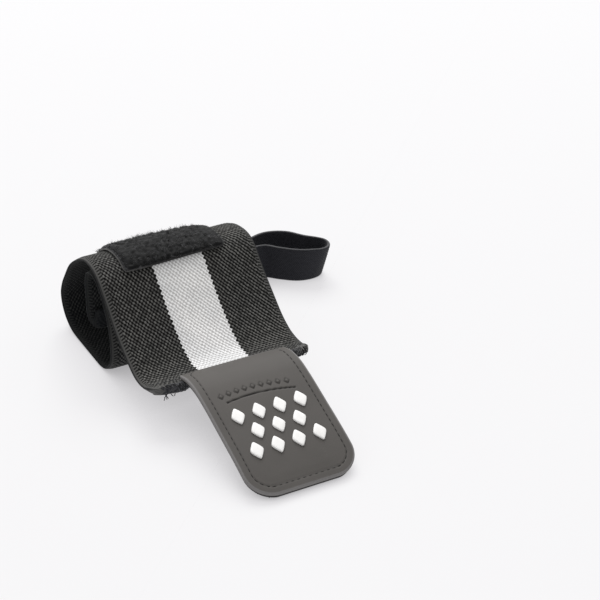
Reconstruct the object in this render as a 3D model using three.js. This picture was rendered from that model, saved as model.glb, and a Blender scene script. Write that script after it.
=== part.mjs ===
// A lifting wrist wrap, lying half unrolled: an elastic band with a folded hem at both ends,
// a rubber pull tab with a hook backing, a loop patch with pile, and a thumb loop.
// Millimetres, +Z up. X runs across the band, and -Y points to the tip of the tab.
import * as THREE from 'three';

// Driving dimensions
const BAND_WIDTH = 76;
const BAND_THICK = 1.8;
const HEM_LENGTH = 8;
const HEM_INSET = 2;
const FOLD_GAP = 0.4;
const ROLL_DEPTH = 60.2;
const ROLL_HEIGHT = 49.7;
const FRONT_REACH = 110;
const FAR_SAG = 1.6;
const TAB_LENGTH = 73;
const TAB_WIDTH = 50;
const TAB_THICK = 2;
const TAB_TIP_RADIUS = 12;
const TAB_TOP_RADIUS = 2.5;
const TAB_BEVEL = 0.5;
const TAB_OVERLAP = 1;
const TAB_SHIFT = 0.7;
const HOOK_THICK = 1.8;
const HOOK_INSET = 0.6;
const PATCH_START = 136.8;
const PATCH_LENGTH = 62;
const PATCH_WIDTH = 48;
const PATCH_THICK = 1;
const PATCH_RADIUS = 4;
const PILE_THICK = 1.7;
const PILE_INSET = 1.6;
const LOOP_HEIGHT = 18;
const LOOP_THICK = 1.5;
const LOOP_REACH = 53;
const SEAM_LENGTH = 15;
const SEAM_FROM_EDGE = 19;
const MARK_LENGTH = 8.4;
const MARK_WIDTH = 6;
const MARK_THICK = 0.6;
const MARK_PITCH_ACROSS = 9.6;
const MARK_PITCH_ALONG = 9;
const MARK_MIDDLE = 30;
const GAP = 0.3;
const STEP = 2.4;

// The line that the band follows, from the tab's tip to the inner end of the roll.
// back: behind the roll's foot as a share of its depth, or ahead of it as a share of the front reach
// up: height of the wall's middle as a share of its height at the crest
const BAND_LINE = [
  { back: -1.000, up: 0.000 },
  { back: -0.856, up: 0.154 },
  { back: -0.708, up: 0.284 },
  { back: -0.574, up: 0.397 },
  { back: -0.506, up: 0.438 },
  { back: -0.443, up: 0.441 },
  { back: -0.379, up: 0.395 },
  { back: -0.303, up: 0.336 },
  { back: -0.230, up: 0.342 },
  { back: -0.164, up: 0.411 },
  { back: -0.046, up: 0.612 },
  { back: 0.099, up: 0.833 },
  { back: 0.182, up: 0.933 },
  { back: 0.262, up: 0.985 },
  { back: 0.365, up: 1.000 },
  { back: 0.493, up: 0.973 },
  { back: 0.613, up: 0.900 },
  { back: 0.741, up: 0.775 },
  { back: 0.853, up: 0.622 },
  { back: 0.950, up: 0.455 },
  { back: 1.000, up: 0.305 },
  { back: 0.986, up: 0.188 },
  { back: 0.933, up: 0.090 },
  { back: 0.836, up: 0.021 },
  { back: 0.707, up: 0.000 },
  { back: 0.262, up: 0.000 },
  { back: 0.134, up: 0.044 },
  { back: 0.036, up: 0.165 },
  { back: 0.005, up: 0.315 },
  { back: 0.015, up: 0.482 },
  { back: 0.062, up: 0.649 },
  { back: 0.142, up: 0.806 },
  { back: 0.224, up: 0.900 },
  { back: 0.318, up: 0.929 },
  { back: 0.408, up: 0.885 },
  { back: 0.452, up: 0.764 },
  { back: 0.452, up: 0.608 },
  { back: 0.452, up: 0.441 },
  { back: 0.452, up: 0.273 },
];

// The thumb loop's strip, seen from above, from its seam out round the end and back.
// out: beyond the band's far edge as a share of the loop's reach, back: as in the band's line
// lift: height of the strip's foot, and lean: how far its top stands outward, as shares of its height
const LOOP_LINE = [
  { out: -0.189, back: 0.553, lift: 0.18, lean: 0.00 },
  { out: 0.000, back: 0.699, lift: 0.18, lean: 0.00 },
  { out: 0.151, back: 0.815, lift: 0.11, lean: 0.00 },
  { out: 0.264, back: 0.875, lift: 0.04, lean: 0.00 },
  { out: 0.377, back: 0.896, lift: 0.00, lean: 0.00 },
  { out: 0.491, back: 0.878, lift: 0.00, lean: 0.00 },
  { out: 0.585, back: 0.796, lift: 0.00, lean: 0.02 },
  { out: 0.717, back: 0.705, lift: 0.00, lean: 0.06 },
  { out: 0.828, back: 0.680, lift: 0.00, lean: 0.15 },
  { out: 0.925, back: 0.695, lift: 0.00, lean: 0.28 },
  { out: 0.979, back: 0.750, lift: 0.00, lean: 0.20 },
  { out: 0.966, back: 0.836, lift: 0.00, lean: 0.06 },
  { out: 0.868, back: 0.933, lift: 0.00, lean: 0.00 },
  { out: 0.726, back: 1.026, lift: 0.00, lean: 0.00 },
  { out: 0.594, back: 1.053, lift: 0.00, lean: 0.00 },
  { out: 0.468, back: 1.026, lift: 0.00, lean: 0.00 },
  { out: 0.340, back: 0.971, lift: 0.02, lean: 0.00 },
  { out: 0.170, back: 0.878, lift: 0.11, lean: 0.00 },
  { out: 0.000, back: 0.767, lift: 0.18, lean: 0.00 },
  { out: -0.189, back: 0.613, lift: 0.18, lean: 0.00 },
];

// The staggered rows of raised lozenges on the tab, from the one nearest to its tip
const MARK_ROWS = [{ count: 4 }, { count: 3 }, { count: 4 }];

const wallHeight = ROLL_HEIGHT - BAND_THICK;
const wallDepth = ROLL_DEPTH - BAND_THICK;

function backToY(back) {
  const scale = back < 0 ? FRONT_REACH : wallDepth;
  return back * scale + BAND_THICK / 2;
}

function upToZ(up) {
  return up * wallHeight + BAND_THICK / 2;
}

const bandCurve = new THREE.CatmullRomCurve3(
  BAND_LINE.map((row) => new THREE.Vector3(0, backToY(row.back), upToZ(row.up))),
  false,
  'centripetal',
);
bandCurve.arcLengthDivisions = 1600;
const lineLength = bandCurve.getLength();

// A place on the band's line: its point, the way along and the way out of the outer face.
// What lies on the floor is pressed flat.
function lineAt(along) {
  const share = THREE.MathUtils.clamp(along / lineLength, 0, 1);
  const point = bandCurve.getPointAt(share);
  point.z = Math.max(point.z, BAND_THICK / 2);
  const ahead = bandCurve.getTangentAt(share);
  const out = new THREE.Vector3(0, -ahead.z, ahead.y);
  return { point, ahead, out };
}

// The roll's crest hangs lower towards the far edge
function settle(point) {
  const share = THREE.MathUtils.clamp(point.x / BAND_WIDTH + 0.5, 0, 1);
  const height = point.z / ROLL_HEIGHT;
  point.z -= FAR_SAG * share * height * height;
  return point;
}

// Joins rings of points into one closed solid. A ring is an upper row and the lower row back again.
function loft(rings) {
  const count = rings[0].length;
  const corners = rings.flat().map(settle);
  const faces = [];
  for (let ring = 0; ring + 1 < rings.length; ring += 1) {
    for (let i = 0; i < count; i += 1) {
      const a = ring * count + i;
      const b = ring * count + ((i + 1) % count);
      faces.push(a, b, b + count, a, b + count, a + count);
    }
  }
  const last = (rings.length - 1) * count;
  for (let i = 0; i + 1 < count / 2; i += 1) {
    const j = count - 1 - i;
    faces.push(i, j, i + 1, i + 1, j, j - 1);
    faces.push(last + i, last + i + 1, last + j, last + i + 1, last + j - 1, last + j);
  }
  const geometry = new THREE.BufferGeometry();
  geometry.setAttribute('position', new THREE.Float32BufferAttribute(corners.flatMap((p) => p.toArray()), 3));
  geometry.setIndex(faces);
  geometry.computeVertexNormals();
  return geometry;
}

// The two rows of a strip's section: offsets across it, and its upper face's height at each
function sectionRows(half, thick, bevel, count) {
  const edge = Math.min(bevel, half / 2);
  const inner = half - edge;
  const offsets = edge > 0 ? [{ x: -half, z: thick / 2 - edge }] : [];
  for (let i = 0; i < count; i += 1) {
    offsets.push({ x: -inner + (2 * inner * i) / (count - 1), z: thick / 2 });
  }
  if (edge > 0) offsets.push({ x: half, z: thick / 2 - edge });
  const under = offsets.map((offset) => ({ x: offset.x, z: -thick / 2 })).reverse();
  return offsets.concat(under);
}

function sectionRing(place, lift, middle, half, thick, bevel, count) {
  return sectionRows(half, thick, bevel, count).map((offset) => {
    const corner = place.point.clone().addScaledVector(place.out, lift + offset.z);
    corner.x = middle + offset.x;
    return corner;
  });
}

// Steps along the line, closer together where the strip's corners are round
function stations(from, to, startRadius, endRadius) {
  const list = [];
  const cornerTurns = [0, 0.2, 0.4, 0.6, 0.8];
  for (const turn of cornerTurns) {
    if (startRadius > 0) list.push(from + startRadius * (1 - Math.cos((turn * Math.PI) / 2)));
  }
  const first = from + startRadius;
  const last = to - endRadius;
  const steps = Math.max(1, Math.round((last - first) / STEP));
  for (let i = 0; i <= steps; i += 1) list.push(first + ((last - first) * i) / steps);
  for (const turn of cornerTurns.slice().reverse()) {
    if (endRadius > 0) list.push(to - endRadius * (1 - Math.cos((turn * Math.PI) / 2)));
  }
  return list;
}

function cornerInset(distance, radius) {
  if (distance >= radius) return 0;
  const rest = radius - Math.max(distance, 0);
  return radius - Math.sqrt(radius * radius - rest * rest);
}

// A strip that lies along the band's line, its middle layer lifted off it by lift
function strip({ from, to, lift, width, thick, middle = 0, startRadius = 0, endRadius = 0, bevel = 0 }) {
  const rings = stations(from, to, startRadius, endRadius).map((along) => {
    const inset = cornerInset(along - from, startRadius) + cornerInset(to - along, endRadius);
    return sectionRing(lineAt(along), lift, middle, width / 2 - inset, thick, bevel, 4);
  });
  return loft(rings);
}

// The band's end, turned under: places from its raw edge round the fold, or the other way about
const foldRadius = (BAND_THICK + FOLD_GAP) / 2;

function foldAt(along, direction) {
  const edge = lineAt(along);
  const centre = edge.point.clone().addScaledVector(edge.out, -foldRadius);
  const beyond = edge.ahead.clone().multiplyScalar(direction);
  const turns = [0.25, 0.5, 0.75];
  return turns.map((turn) => {
    const angle = turn * Math.PI;
    const point = centre.clone()
      .addScaledVector(edge.out, foldRadius * Math.cos(angle))
      .addScaledVector(beyond, foldRadius * Math.sin(angle));
    const out = edge.out.clone().multiplyScalar(Math.cos(angle)).addScaledVector(beyond, Math.sin(angle));
    return { point, out };
  });
}

function hemAt(along, direction) {
  const steps = Math.max(2, Math.round(HEM_LENGTH / STEP));
  const places = [];
  for (let i = 0; i <= steps; i += 1) {
    const place = lineAt(along - (direction * HEM_LENGTH * i) / steps);
    const point = place.point.addScaledVector(place.out, -2 * foldRadius);
    places.push({ point, out: place.out.negate() });
  }
  return places;
}

const bandStart = TAB_LENGTH - TAB_OVERLAP;
const bandEnd = lineLength - foldRadius;

// The hems draw the band in, most at its ends
function bandHalf(fromEnd) {
  const left = 1 - THREE.MathUtils.clamp(fromEnd / HEM_LENGTH, 0, 1);
  return BAND_WIDTH / 2 - HEM_INSET * left * left;
}

function band() {
  const ring = (place, fromEnd) => sectionRing(place, 0, 0, bandHalf(fromEnd), BAND_THICK, 0, 4);
  const front = hemAt(bandStart, -1).reverse().concat(foldAt(bandStart, -1).reverse());
  const inner = foldAt(bandEnd, 1).concat(hemAt(bandEnd, 1));
  const middle = stations(bandStart, bandEnd, 0, 0).map((along) => (
    ring(lineAt(along), Math.min(along - bandStart, bandEnd - along))
  ));
  return loft([...front.map((place) => ring(place, 0)), ...middle, ...inner.map((place) => ring(place, 0))]);
}

const tabLift = BAND_THICK / 2 + GAP + TAB_THICK / 2;

function tabFace() {
  return strip({
    from: 0,
    to: TAB_LENGTH,
    lift: tabLift,
    middle: TAB_SHIFT,
    width: TAB_WIDTH,
    thick: TAB_THICK,
    startRadius: TAB_TIP_RADIUS,
    endRadius: TAB_TOP_RADIUS,
    bevel: TAB_BEVEL,
  });
}

// The hook backing lies under the tab, in the band's layer, and stops short of the folded hem
function hookBacking() {
  return strip({
    from: HOOK_INSET,
    to: bandStart - foldRadius - BAND_THICK / 2 - GAP,
    lift: (BAND_THICK - HOOK_THICK) / 2,
    middle: TAB_SHIFT,
    width: TAB_WIDTH - 2 * HOOK_INSET,
    thick: HOOK_THICK,
    startRadius: TAB_TIP_RADIUS - HOOK_INSET,
  });
}

const patchLift = BAND_THICK / 2 + GAP + PATCH_THICK / 2;

function patchBase() {
  return strip({
    from: PATCH_START,
    to: PATCH_START + PATCH_LENGTH,
    lift: patchLift,
    width: PATCH_WIDTH,
    thick: PATCH_THICK,
    startRadius: PATCH_RADIUS,
    endRadius: PATCH_RADIUS,
  });
}

function patchPile() {
  return strip({
    from: PATCH_START + PILE_INSET,
    to: PATCH_START + PATCH_LENGTH - PILE_INSET,
    lift: patchLift + PATCH_THICK / 2 + GAP + PILE_THICK / 2,
    width: PATCH_WIDTH - 2 * PILE_INSET,
    thick: PILE_THICK,
    startRadius: PATCH_RADIUS,
    endRadius: PATCH_RADIUS,
    bevel: PILE_THICK / 3,
  });
}

// A raised lozenge on the tab's face, narrow at both ends and widest in its middle
function gripMark(across, along) {
  const lift = tabLift + TAB_THICK / 2 + GAP + MARK_THICK / 2;
  const widths = [0.08, 1, 0.08];
  const rings = widths.map((share, i) => {
    const place = lineAt(along + MARK_LENGTH * (i / (widths.length - 1) - 0.5));
    return sectionRing(place, lift, across, (MARK_WIDTH * share) / 2, MARK_THICK, 0, 2);
  });
  return loft(rings);
}

// The thumb loop: both ends of its strip are sewn flat to the rear of the band's inner end
function loopPlaces() {
  const seamBack = lineAt(bandEnd).point.y + BAND_THICK / 2 + GAP + LOOP_THICK / 2;
  const seamLift = LOOP_LINE[0].lift * LOOP_HEIGHT;
  const seamEnd = BAND_WIDTH / 2 - SEAM_FROM_EDGE;
  const seamRow = (x, layer) => ({
    foot: new THREE.Vector3(x, seamBack + layer * (LOOP_THICK + GAP), seamLift),
    lean: 0,
  });
  const free = LOOP_LINE.map((row) => ({
    foot: new THREE.Vector3(BAND_WIDTH / 2 + row.out * LOOP_REACH, backToY(row.back), row.lift * LOOP_HEIGHT),
    lean: row.lean * LOOP_HEIGHT,
  }));
  const seamShares = [0, 0.5, 1];
  const near = seamShares.map((share) => seamRow(seamEnd - SEAM_LENGTH * (1 - share), 0));
  const far = seamShares.map((share) => seamRow(seamEnd - SEAM_LENGTH * share, 1));
  return near.concat(free, far);
}

function thumbLoop() {
  const places = loopPlaces();
  const foot = new THREE.CatmullRomCurve3(places.map((place) => place.foot), false, 'centripetal');
  const lean = new THREE.CatmullRomCurve3(places.map((place, i) => new THREE.Vector3(i, place.lean, 0)), false);
  const stepsPerRow = 4;
  const steps = stepsPerRow * (places.length - 1);
  const heights = [0, 0.5, 1];
  const rings = [];
  for (let i = 0; i <= steps; i += 1) {
    const point = foot.getPoint(i / steps);
    point.z = Math.max(point.z, 0);
    const ahead = foot.getTangent(i / steps);
    const out = new THREE.Vector3(ahead.y, -ahead.x, 0).normalize();
    const outward = lean.getPoint(i / steps).y;
    const side = (height, offset) => {
      const corner = point.clone().addScaledVector(out, offset + outward * height);
      corner.z += height * LOOP_HEIGHT;
      return corner;
    };
    const inner = heights.map((height) => side(height, -LOOP_THICK / 2));
    const outer = heights.map((height) => side(height, LOOP_THICK / 2)).reverse();
    rings.push(inner.concat(outer));
  }
  return loft(rings);
}

function material(colour, roughness) {
  return new THREE.MeshStandardMaterial({ color: colour, roughness, metalness: 0, flatShading: true });
}

const webbing = material(0x3c3c3b, 0.95);
const rubber = material(0x6c6b69, 0.7);
const hooks = material(0x161616, 0.9);
const patchCloth = material(0x2e2e2f, 0.95);
const pile = material(0x343435, 1);
const loopCloth = material(0x23262c, 0.95);
const markRubber = material(0xe8e8e6, 0.6);

const wrap = new THREE.Group();

function addPiece(name, geometry, pieceMaterial) {
  const piece = new THREE.Mesh(geometry, pieceMaterial);
  piece.name = name;
  wrap.add(piece);
}

addPiece('band', band(), webbing);
addPiece('tab_face', tabFace(), rubber);
addPiece('hook_backing', hookBacking(), hooks);
addPiece('patch_base', patchBase(), patchCloth);
addPiece('patch_pile', patchPile(), pile);
addPiece('thumb_loop', thumbLoop(), loopCloth);

let markNumber = 0;
MARK_ROWS.forEach((row, rowNumber) => {
  const along = MARK_MIDDLE + MARK_PITCH_ALONG * (rowNumber - (MARK_ROWS.length - 1) / 2);
  for (let i = 0; i < row.count; i += 1) {
    markNumber += 1;
    const across = TAB_SHIFT + MARK_PITCH_ACROSS * (i - (row.count - 1) / 2);
    addPiece(`grip_mark_${markNumber}`, gripMark(across, along), markRubber);
  }
});

// The origin is on the floor, under the middle of the whole
const box = new THREE.Box3().setFromObject(wrap);
const middle = box.getCenter(new THREE.Vector3());
wrap.children.forEach((piece) => {
  piece.position.set(-middle.x, -middle.y, -box.min.z);
});

export default wrap;
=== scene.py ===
"""A lifting wrist wrap, lying half unrolled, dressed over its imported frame.

Lengths below are in millimetres along the wrap's own lines; make_piece turns them into metres
in the frame's axes: +X across the band, +Y from the tab's tip to the roll, +Z up.
"""

import bpy
import numpy as np
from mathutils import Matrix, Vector
from numpy import clip, concatenate, cos, hypot, linspace, maximum, minimum, pi, sin, sqrt, stack


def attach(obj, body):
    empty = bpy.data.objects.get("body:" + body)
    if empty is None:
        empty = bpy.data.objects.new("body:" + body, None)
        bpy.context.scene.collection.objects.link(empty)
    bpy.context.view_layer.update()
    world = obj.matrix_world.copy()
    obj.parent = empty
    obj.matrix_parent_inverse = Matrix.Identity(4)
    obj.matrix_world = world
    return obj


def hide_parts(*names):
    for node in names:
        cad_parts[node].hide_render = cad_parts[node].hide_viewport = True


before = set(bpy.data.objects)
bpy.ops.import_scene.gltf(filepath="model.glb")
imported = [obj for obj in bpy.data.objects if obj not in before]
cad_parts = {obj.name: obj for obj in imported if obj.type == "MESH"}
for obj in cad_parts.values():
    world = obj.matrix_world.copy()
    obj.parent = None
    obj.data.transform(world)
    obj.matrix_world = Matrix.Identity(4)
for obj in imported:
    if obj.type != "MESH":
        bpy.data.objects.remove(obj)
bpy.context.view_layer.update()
rng = np.random.default_rng(20)

# Where the part's own zero lies in the frame
ORIGIN = np.array([-28.024, 23.653, 0.0])

# Sizes of the solids
BAND_WIDTH = 76.0
BAND_THICK = 1.8
HEM_LENGTH = 8.0
HEM_INSET = 2.0
FOLD_RADIUS = 1.1
ROLL_DEPTH = 60.2
ROLL_HEIGHT = 49.7
FRONT_REACH = 110.0
FAR_SAG = 1.6
TAB_LENGTH = 73.0
TAB_WIDTH = 50.0
TAB_THICK = 2.0
TAB_TIP_RADIUS = 12.0
TAB_TOP_RADIUS = 2.5
TAB_OVERLAP = 1.0
TAB_SHIFT = 0.7
HOOK_INSET = 0.25
HOOK_SIDE = 0.6
PATCH_START = 136.8
PATCH_LENGTH = 62.0
PATCH_WIDTH = 48.0
PATCH_THICK = 1.0
LOOP_HEIGHT = 18.0
LOOP_THICK = 1.5
LOOP_REACH = 53.0
SEAM_LENGTH = 15.0
SEAM_FROM_EDGE = 19.0
MARK_LENGTH = 8.4
MARK_WIDTH = 6.0
MARK_THICK = 0.6
MARK_PITCH_ACROSS = 9.6
MARK_PITCH_ALONG = 9.0
MARK_MIDDLE = 30.0
MARK_ROWS = (4, 3, 4)
GAP = 0.3
# From the band's middle layer to its faces
BAND_FACE = BAND_THICK / 2

# The weave: one knot every KNOT_ACROSS in a row, rows KNOT_ALONG apart, staggered by half
KNOT_ACROSS = 1.78
KNOT_ALONG = 1.22
RELIEF = 0.13
STRIPE_HALF = 12.1
LADDER_EDGE = 35.2
LIP_EDGE = 36.75
RIGHT_LIP_SHIFT = 0.55
LADDER_PITCH = 1.48
LADDER_SLANT = 0.35
# From where to where across the band the knots' lean grows, its least value and its growth
LEAN_SPAN = (-10, 30)
LEAN_LEAST = 0.08
LEAN_GROWTH = 0.1
# One rib of the thumb loop's webbing
LOOP_RIB = 0.72

# The band's line: back as a share of the roll's depth or of the front reach, up as a share of the crest
BAND_LINE = (
    (-1.0, 0.0), (-0.856, 0.154), (-0.708, 0.284), (-0.574, 0.397), (-0.506, 0.438),
    (-0.443, 0.441), (-0.379, 0.395), (-0.303, 0.336), (-0.23, 0.342), (-0.164, 0.411),
    (-0.046, 0.612), (0.099, 0.833), (0.182, 0.933), (0.262, 0.985), (0.365, 1.0),
    (0.493, 0.973), (0.613, 0.9), (0.741, 0.775), (0.853, 0.622), (0.95, 0.455),
    (1.0, 0.305), (0.986, 0.188), (0.933, 0.09), (0.836, 0.021), (0.707, 0.0),
    (0.262, 0.0), (0.134, 0.044), (0.036, 0.165), (0.005, 0.315), (0.015, 0.482),
    (0.062, 0.649), (0.142, 0.806), (0.224, 0.9), (0.318, 0.929), (0.408, 0.885),
    (0.452, 0.764), (0.452, 0.608), (0.452, 0.441), (0.452, 0.273),
)

# The thumb loop's line: out, back, lift of its foot and lean of its top, as shares
LOOP_LINE = (
    (-0.189, 0.553, 0.18, 0.0), (0.0, 0.699, 0.18, 0.0), (0.151, 0.815, 0.11, 0.0),
    (0.264, 0.875, 0.04, 0.0), (0.377, 0.896, 0.0, 0.0), (0.491, 0.878, 0.0, 0.0),
    (0.585, 0.796, 0.0, 0.02), (0.717, 0.705, 0.0, 0.06), (0.828, 0.68, 0.0, 0.15),
    (0.925, 0.695, 0.0, 0.28), (0.979, 0.75, 0.0, 0.2), (0.966, 0.836, 0.0, 0.06),
    (0.868, 0.933, 0.0, 0.0), (0.726, 1.026, 0.0, 0.0), (0.594, 1.053, 0.0, 0.0),
    (0.468, 1.026, 0.0, 0.0), (0.34, 0.971, 0.02, 0.0), (0.17, 0.878, 0.11, 0.0),
    (0.0, 0.767, 0.18, 0.0), (-0.189, 0.613, 0.18, 0.0),
)

# The row of the band's line from which the cloth lies within the roll
ROLL_ROW = 25

# Samples in each span of a smooth curve
LINE_STEPS = 48
TURN = 2 * pi

WALL_HEIGHT = ROLL_HEIGHT - BAND_THICK
WALL_DEPTH = ROLL_DEPTH - BAND_THICK


def back_to_y(back):
    return back * (FRONT_REACH if back < 0 else WALL_DEPTH) + BAND_FACE


def smooth_curve(points):
    """A centripetal Catmull-Rom curve through the points, sampled evenly within each span."""
    points = np.asarray(points, float)
    ends = np.vstack([2 * points[0] - points[1], points, 2 * points[-1] - points[-2]])
    share = (np.arange(LINE_STEPS) / LINE_STEPS)[:, None]
    parts = []
    for i in range(1, len(ends) - 2):
        p0, p1, p2, p3 = ends[i - 1:i + 3]
        d0, d1, d2 = (sqrt(np.linalg.norm(a - b)) for a, b in ((p0, p1), (p1, p2), (p2, p3)))
        t1 = ((p1 - p0) / d0 - (p2 - p0) / (d0 + d1) + (p2 - p1) / d1) * d1
        t2 = ((p2 - p1) / d1 - (p3 - p1) / (d1 + d2) + (p3 - p2) / d2) * d1
        square = (-3 * p1 + 3 * p2 - 2 * t1 - t2) * share ** 2
        parts.append(p1 + t1 * share + square + (2 * p1 - 2 * p2 + t1 + t2) * share ** 3)
    parts.append(points[-1:])
    return np.vstack(parts)


def run_length(points):
    steps = np.linalg.norm(np.diff(points, axis=0), axis=1)
    return concatenate([[0.0], np.cumsum(steps)])


def at_lengths(points, lengths):
    """The points at these lengths along a polyline."""
    along = run_length(points)
    return stack([np.interp(lengths, along, column) for column in points.T], -1)


LINE = smooth_curve([(back_to_y(b), up * WALL_HEIGHT + BAND_FACE) for b, up in BAND_LINE])
LINE_RUN = run_length(LINE)
BAND_START = TAB_LENGTH - TAB_OVERLAP
BAND_END = float(LINE_RUN[-1]) - FOLD_RADIUS


def line_point(along):
    place = at_lengths(LINE, along)
    place[..., 1] = maximum(place[..., 1], BAND_FACE)
    return place


def heading(path, along, reach):
    """Unit direction of a polyline at these lengths, from a short step to either side."""
    ahead = at_lengths(path, along + reach) - at_lengths(path, along - reach)
    return ahead / np.linalg.norm(ahead, axis=-1, keepdims=True)


def line_ahead(along):
    return heading(LINE, along, 0.35)


def out_of(ahead):
    return stack([-ahead[..., 1], ahead[..., 0]], -1)


def settle(points):
    """The roll's crest hangs lower towards the far edge."""
    points = np.array(points, float)
    share = clip(points[..., 0] / BAND_WIDTH + 0.5, 0, 1)
    points[..., 2] -= FAR_SAG * share * (points[..., 2] / ROLL_HEIGHT) ** 2
    return points


def on_line(across, along, lift):
    """Points beside the band's line: across it, along it, and lifted out of its outer face."""
    across, along, lift = np.broadcast_arrays(np.asarray(across, float), along, lift)
    place = line_point(along) + out_of(line_ahead(along)) * lift[..., None]
    return settle(concatenate([across[..., None], place], -1))


def above_floor(points, least):
    """The points, with none lower than this."""
    points[..., 2] = maximum(points[..., 2], least)
    return points


def ease(value, low, high):
    """Rises smoothly from 0 at low to 1 at high; fade falls from 1 to 0."""
    share = clip((np.asarray(value, float) - low) / (high - low), 0, 1)
    return share * share * (3 - 2 * share)


def fade(value, low, high):
    return 1 - ease(value, low, high)


def weave(u, v):
    """Height of the knots from -1 to 1. Towards the far edge the knots join into slanted ridges."""
    lean = LEAN_LEAST + LEAN_GROWTH * ease(u, *LEAN_SPAN)
    one = cos(TURN * (u / KNOT_ACROSS + v / (2 * KNOT_ALONG)))
    two = cos(TURN * (u / KNOT_ACROSS - v / (2 * KNOT_ALONG)))
    return (0.5 + lean) * one + (0.5 - lean) * two


def sides(upper, lower=None):
    """Point values for a slab's upper and lower sides; the same for both if only one is given."""
    lower = np.broadcast_to(upper if lower is None else lower, upper.shape)
    return concatenate([upper.ravel(), lower.ravel()])


def cloth_map(across, along):
    return np.tile(stack([across, along], -1).reshape(-1, 2), (2, 1))


def make_piece(name, shape, material, cloth=None, values=None):
    """A mesh object from points in millimetres and faces, with its cloth map and point values."""
    points, faces = shape
    places = (np.reshape(points, (-1, 3)) + ORIGIN) / 1000
    mesh = bpy.data.meshes.new(name)
    mesh.from_pydata(places.tolist(), [], [corners for kind in faces for corners in kind.tolist()])
    mesh.validate()
    mesh.shade_smooth()
    if cloth is not None:
        corners = concatenate([kind.ravel() for kind in faces])
        layer = mesh.uv_layers.new(name="cloth")
        layer.uv.foreach_set("vector", cloth[corners].astype(np.float32).ravel())
    for key, value in (values or {}).items():
        attribute = mesh.attributes.new(key, "FLOAT", "POINT")
        attribute.data.foreach_set("value", np.asarray(value, np.float32).ravel())
    mesh.update()
    obj = bpy.data.objects.new(name, mesh)
    bpy.context.collection.objects.link(obj)
    mesh.materials.append(material)
    return obj


def closed_strip(top, under):
    """Points and faces of a closed slab from two grids of points, the lower one under the upper."""
    rows, columns = top.shape[:2]
    count = rows * columns
    index = np.arange(count).reshape(rows, columns)
    a, b, c, d = (part.ravel() for part in (index[:-1, :-1], index[:-1, 1:], index[1:, 1:], index[1:, :-1]))
    faces = [stack([a, b, c, d], -1), stack([a, d, c, b], -1) + count]
    for edge in (index[::-1, 0], index[0], index[:, -1], index[-1, ::-1]):
        a, b = edge[:-1], edge[1:]
        faces.append(stack([a, a + count, b + count, b], -1))
    points = concatenate([top.reshape(-1, 3), under.reshape(-1, 3)])
    return points, faces


def ring_quads(index):
    """Faces between neighbouring closed rings of points, the rings along the last axis but one."""
    after = np.roll(index, -1, axis=-1)
    near, far = index[..., :-1, :], index[..., 1:, :]
    quads = stack([near, after[..., :-1, :], after[..., 1:, :], far], -1)
    return quads.reshape(-1, 4)


def tube(path, radius, around):
    """A closed round thread along a path, drawn in to a blunt end at both tips."""
    ahead = np.gradient(path, axis=0)
    ahead /= np.linalg.norm(ahead, axis=1, keepdims=True) + 1e-9
    helper = np.array([0.31, 0.17, 0.93])
    side = np.cross(ahead, helper)
    side /= np.linalg.norm(side, axis=1, keepdims=True) + 1e-9
    third = np.cross(ahead, side)
    turn = TURN * np.arange(around) / around
    girth = np.full(len(path), radius)
    girth[[0, -1]] *= 0.45
    ring = side[:, None] * cos(turn)[:, None] + third[:, None] * sin(turn)[:, None]
    points = path[:, None] + ring * girth[:, None, None]
    index = np.arange(len(path) * around).reshape(len(path), around)
    return points.reshape(-1, 3), [ring_quads(index), index[0][::-1][None], index[-1][None]]


def join(parts):
    """One set of points and faces from many."""
    points, by_size, start = [], {}, 0
    for part_points, part_faces in parts:
        for faces in part_faces:
            by_size.setdefault(faces.shape[1], []).append(faces + start)
        points.append(part_points)
        start += len(part_points)
    return concatenate(points), [concatenate(found) for found in by_size.values()]


class Value:
    """A node's output; +, - and * with other values and numbers make Math nodes."""

    def __init__(self, look, socket):
        self.look, self.socket = look, socket

    def __add__(self, other):
        return self.look.math("ADD", self, other)

    def __sub__(self, other):
        return self.look.math("SUBTRACT", self, other)

    def __rsub__(self, other):
        return self.look.math("SUBTRACT", other, self)

    def __mul__(self, other):
        return self.look.math("MULTIPLY", self, other)

    def soft(self, low, high):
        """Rises smoothly from 0 at low to 1 at high."""
        kind = {"interpolation_type": "SMOOTHSTEP"}
        return self.look.node("MapRange", "Result", kind, Value=self, From_Min=low, From_Max=high)


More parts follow.
